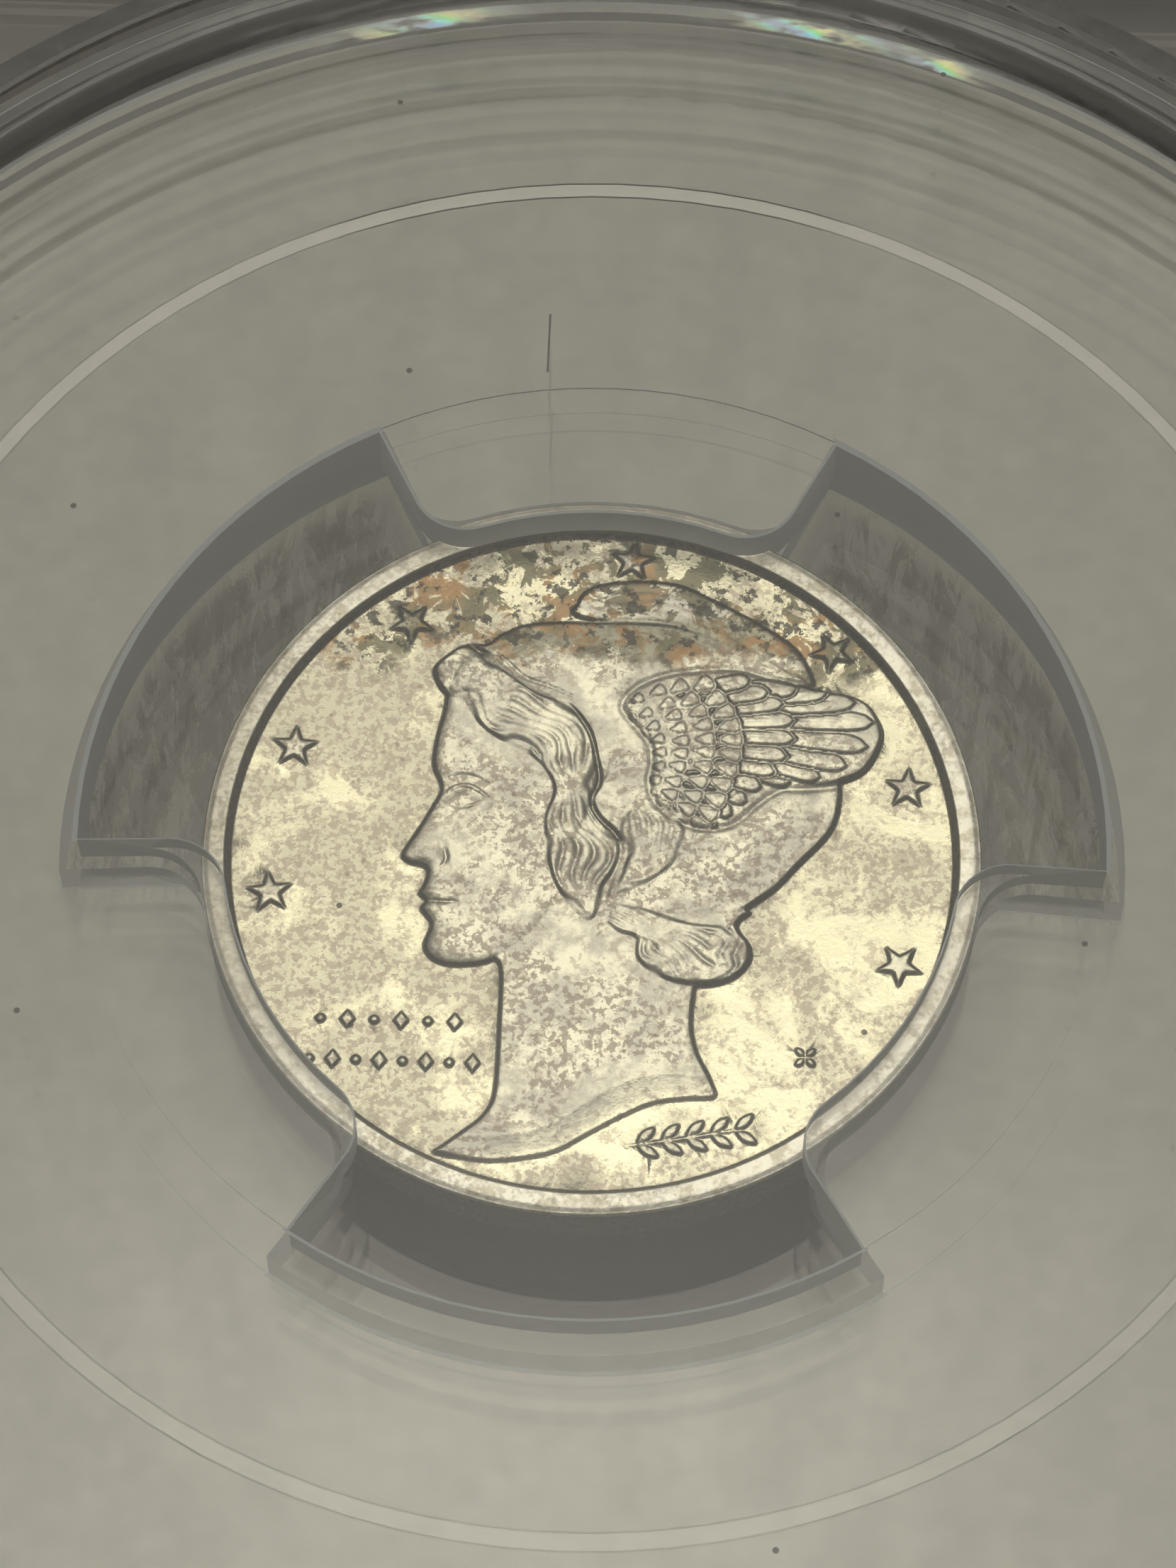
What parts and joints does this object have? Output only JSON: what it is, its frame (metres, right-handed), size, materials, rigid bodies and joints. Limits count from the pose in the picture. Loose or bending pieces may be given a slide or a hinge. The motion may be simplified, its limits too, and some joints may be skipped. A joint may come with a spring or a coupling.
{
  "type": "graded coin slab",
  "caption": "Flat sealed clear plastic coin holder with a round raised window, a small reeded silver coin gripped by a three-pronged clear insert, and a printed label bay above it.",
  "frame": {"origin": "centre of the slab's outline, on the plane of its rear feet", "axes": "+Z out of the coin's face, through the front window; +Y from the coin towards the label; +X to the right of the label"},
  "size_m": [0.0604, 0.0826, 0.008],
  "materials": {
    "clear_case": "polished clear polystyrene",
    "weld": "remelted clear polystyrene, slightly cloudy",
    "clear_insert": "moulded clear plastic",
    "silver": "struck silver with light toning",
    "label_print": "satin coated card, printed",
    "label_reverse": "satin coated card, printed",
    "seal_foil": "embossed holographic foil"
  },
  "bodies": {
    "root": {"front_shell": "clear_case", "rear_shell": "clear_case", "weld_bead": "weld", "coin_insert_front": "clear_insert", "coin_insert_rear": "clear_insert", "coin": "silver", "label_front": "label_print", "label_back": "label_reverse", "security_seal": "seal_foil"}
  },
  "joints": []
}
